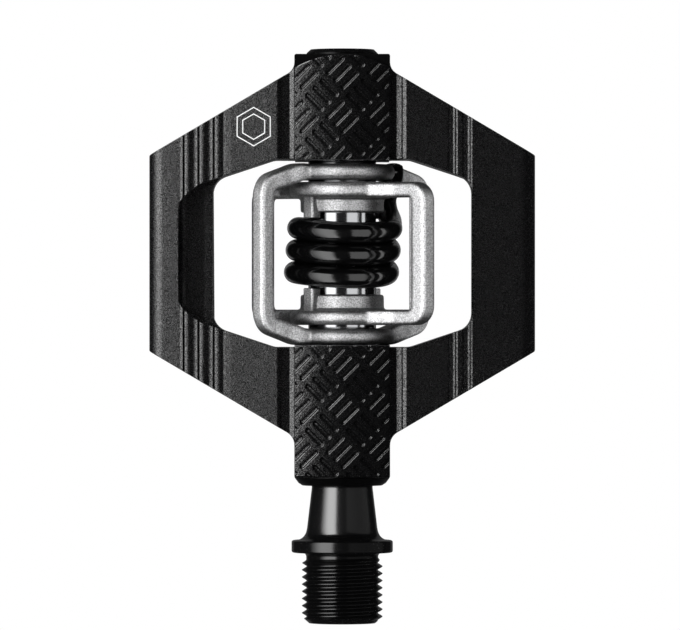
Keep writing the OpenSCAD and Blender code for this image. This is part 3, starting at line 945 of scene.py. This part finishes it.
# the spring in two halves, upper and lower, attached to no body
spring_upper = piece("spring_upper", upper_mesh, M_SPRING, body=None,
                     replaces=["torsion_spring"])
spring_lower = piece("spring_lower", lower_mesh, M_SPRING, body=None,
                     replaces=["torsion_spring"])
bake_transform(spring_upper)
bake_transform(spring_lower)

# ---------------------------------------------------------------- hexagons on the front platform
MARK_X, MARK_Y = -15.6, CY + 22.3
MARK_LINE, MARK_THICKNESS, MARK_SINK = 0.22, 0.03, 0.012


def hexagon_ring(radius):
    verts = [(x, y, z) for r in (radius, radius - MARK_LINE) for z in (0.0, MARK_THICKNESS)
             for x, y in hexagon(r, 30)]
    faces = []
    for i in range(6):
        j = (i + 1) % 6
        faces += [[6 + i, 6 + j, 18 + j, 18 + i], [i, 12 + i, 12 + j, j],
                  [i, j, 6 + j, 6 + i], [12 + i, 18 + i, 18 + j, 12 + j]]
    return new_mesh("hexagon_ring", verts, faces)


mark_place = (Matrix.Translation((MARK_X, MARK_Y, slope_z(MARK_X) - MARK_SINK))
              @ Matrix.Rotation(-math.atan(SLOPE), 4, "Y"))
mark = piece("etched_hexagon", moved(joined([hexagon_ring(3.5), hexagon_ring(2.35)]), mark_place),
             M_MARK, sharp=30)


# ---------------------------------------------------------------- world and floor (metres)
def build_world():
    """White to the camera; for light, a dim grey that brightens overhead."""
    world = bpy.data.worlds.new("studio")
    scene.world = world
    tree = empty_tree(world)
    link = tree.links.new
    output = add_node(tree, "OutputWorld")
    dim = add_node(tree, "Background", {"Color": (0.05, 0.05, 0.051, 1)})
    white = add_node(tree, "Background", {"Color": (1, 1, 1, 1)})
    mix = add_node(tree, "MixShader")
    rays = add_node(tree, "LightPath")
    coords = add_node(tree, "TexCoord")
    split = add_node(tree, "SeparateXYZ")
    link(coords.outputs["Generated"], split.inputs[0])
    link(map_range(tree, split.outputs["Z"], (0.55, 0.95), (0.12, 1.0)), dim.inputs["Strength"])
    link(rays.outputs["Is Camera Ray"], mix.inputs[0])
    link(dim.outputs[0], mix.inputs[1])
    link(white.outputs[0], mix.inputs[2])
    link(mix.outputs[0], output.inputs[0])


def build_floor():
    """White glowing sheet, see-through from below and seen by the camera only."""
    mat = bpy.data.materials.new("pale_floor")
    tree = empty_tree(mat)
    link = tree.links.new
    output = add_node(tree, "OutputMaterial")
    glow = add_node(tree, "Emission", {"Color": (1.0, 1.0, 1.0, 1), "Strength": 1.0})
    clear = add_node(tree, "BsdfTransparent")
    mix = add_node(tree, "MixShader")
    side = add_node(tree, "NewGeometry")
    link(side.outputs["Backfacing"], mix.inputs[0])
    link(glow.outputs[0], mix.inputs[1])
    link(clear.outputs[0], mix.inputs[2])
    link(mix.outputs[0], output.inputs[0])
    mesh = bpy.data.meshes.new("floor")
    mesh.from_pydata([(-4, -4, 0), (4, -4, 0), (4, 4, 0), (-4, 4, 0)], [], [(0, 1, 2, 3)])
    mesh.materials.append(mat)
    floor = bpy.data.objects.new("floor", mesh)
    floor.location = (0, 0, -0.10)
    scene.collection.objects.link(floor)
    floor.visible_glossy = False
    floor.visible_diffuse = False
    floor.visible_shadow = False


build_world()
build_floor()


# ---------------------------------------------------------------- lights (metres)
def area_light(name, place, size, size_y, power):
    light = bpy.data.lights.new(name, "AREA")
    light.shape = "RECTANGLE"
    light.size, light.size_y = size, size_y
    light.energy = power
    obj = bpy.data.objects.new(name, light)
    scene.collection.objects.link(obj)
    obj.location = place
    obj.visible_camera = False
    return obj


def aimed_light(name, place, target, size, power):
    """Square light that faces a target."""
    obj = area_light(name, place, size, size, power)
    obj.rotation_mode = "QUATERNION"
    obj.rotation_quaternion = (Vector(target) - Vector(place)).to_track_quat("-Z", "Y")
    return obj


def grade_light(light, rise_end, start, fall_start):
    """Across the width the strength rises from start to full at rise_end, and falls to
    nothing from fall_start on; the two are shares of the width."""
    tree = empty_tree(light)
    link = tree.links.new
    output = add_node(tree, "OutputLight")
    glow = add_node(tree, "Emission")
    geometry = add_node(tree, "NewGeometry")
    split = add_node(tree, "SeparateXYZ")
    across = split.outputs["X"]
    rise = map_range(tree, across, (0.0, rise_end), (start, 1.0),
                     interpolation_type="SMOOTHSTEP")
    fall = map_range(tree, across, (fall_start, 1.0), (1.0, 0.0),
                     interpolation_type="SMOOTHSTEP")
    product = add_node(tree, "Math", operation="MULTIPLY")
    link(geometry.outputs["Parametric"], split.inputs[0])
    link(rise, product.inputs[0])
    link(fall, product.inputs[1])
    link(product.outputs[0], glow.inputs["Strength"])
    link(glow.outputs[0], output.inputs[0])


def softbox(name, start, end, radiance, only, half_length=0.6, mid_y=0.045, grade=None):
    """Long soft box along the spindle, seen from the object between two angles in degrees off
    the vertical (negative is the front). It reaches only the listed objects."""
    distance = 0.9
    middle, half = math.radians((start + end) / 2), math.radians(abs(end - start) / 2)
    width = 2 * distance * math.tan(half)
    place = (distance * math.sin(middle), mid_y, distance * math.cos(middle))
    power = radiance * math.pi * width * 2 * half_length
    obj = area_light(name, place, width, 2 * half_length, power)
    obj.rotation_euler = (0, middle, 0)
    if grade:
        grade_light(obj.data, **grade)
    receivers = bpy.data.collections.new(name + "_reaches")
    for receiver in only:
        receivers.objects.link(receiver)
    obj.light_linking.receiver_collection = receivers


BODY_GRADE = dict(rise_end=0.60, start=0.12, fall_start=0.86)
STEEL_GRADE = dict(rise_end=0.96, start=0.08, fall_start=0.93)
SPRING_GRADE = dict(rise_end=0.60, start=0.10, fall_start=0.80)
ROUND_GRADE = dict(rise_end=0.50, start=0.15, fall_start=0.86)
wings = [outer_wing, inner_wing]
springs = [spring_upper, spring_lower]

# key lights from the front; those of body and pads reach further outboard than inboard
softbox("key_body", -74, -24, radiance=5.9, only=[body, end_cap, seal_ring, mark],
        half_length=0.68, mid_y=0.56, grade=BODY_GRADE)
softbox("key_pad", -72, -22, radiance=4.6, only=[outer_pad, inner_pad],
        half_length=0.68, mid_y=0.56, grade=BODY_GRADE)
softbox("key_steel", -70, -7, radiance=6.0, only=wings,
        half_length=0.80, mid_y=0.10, grade=STEEL_GRADE)
softbox("key_round", -74, -18, radiance=4.8, only=[sleeve, spindle],
        half_length=0.80, mid_y=0.10, grade=ROUND_GRADE)
softbox("key_spring", -76, -13, radiance=4.1, only=springs,
        half_length=0.94, mid_y=-0.44, grade=SPRING_GRADE)
softbox("arm_front", -88, -64, radiance=1.9, only=[inner_wing])
softbox("fill_spring", 16, 54, radiance=1.75, only=springs)
softbox("fill", 16, 54, radiance=2.4, only=wings + [sleeve])
softbox("fill_low", 64, 90, radiance=2.4, only=[sleeve] + springs)
softbox("low_front", -120, -86, radiance=1.9, only=[outer_wing])
softbox("low_rear", 84, 120, radiance=1.2, only=wings)
softbox("spindle_rear", 15, 105, radiance=0.12, only=[spindle])
aimed_light("under", (0, 0.05, -0.9), target=(0, 0.045, 0), size=1.2, power=0.5)

# soft light from below and the sides, kept out of reflections, so that black parts read there
SOFT_LIGHTS = [  # name, place, power
    ("soft_under", (0, 0.04, -0.9), 30), ("soft_crank", (0, -0.86, -0.16), 13),
    ("soft_outboard", (0, 0.95, -0.16), 13), ("soft_front", (-0.9, 0.04, -0.16), 22),
    ("soft_rear", (0.9, 0.04, -0.16), 22)]
for name, place, power in SOFT_LIGHTS:
    soft = aimed_light(name, place, target=(0, 0.04, 0), size=0.9, power=power)
    soft.visible_glossy = False

# ---------------------------------------------------------------- camera, straight down (metres)
CAMERA_Z = 1.2
SENSOR_WIDTH = 36         # mm
VIEW_WIDTH = 0.12014134   # width in view at the height VIEW_Z
VIEW_Z = 0.004

camera_data = bpy.data.cameras.new("camera")
camera = bpy.data.objects.new("camera", camera_data)
scene.collection.objects.link(camera)
camera_data.sensor_width = SENSOR_WIDTH
camera_data.lens = SENSOR_WIDTH * (CAMERA_Z - VIEW_Z) / VIEW_WIDTH
camera_data.clip_start, camera_data.clip_end = 0.01, 20
camera.location = (-0.00039, 0.0421, CAMERA_Z)
scene.camera = camera
scene.view_settings.view_transform = "Standard"
scene.view_settings.look = "None"
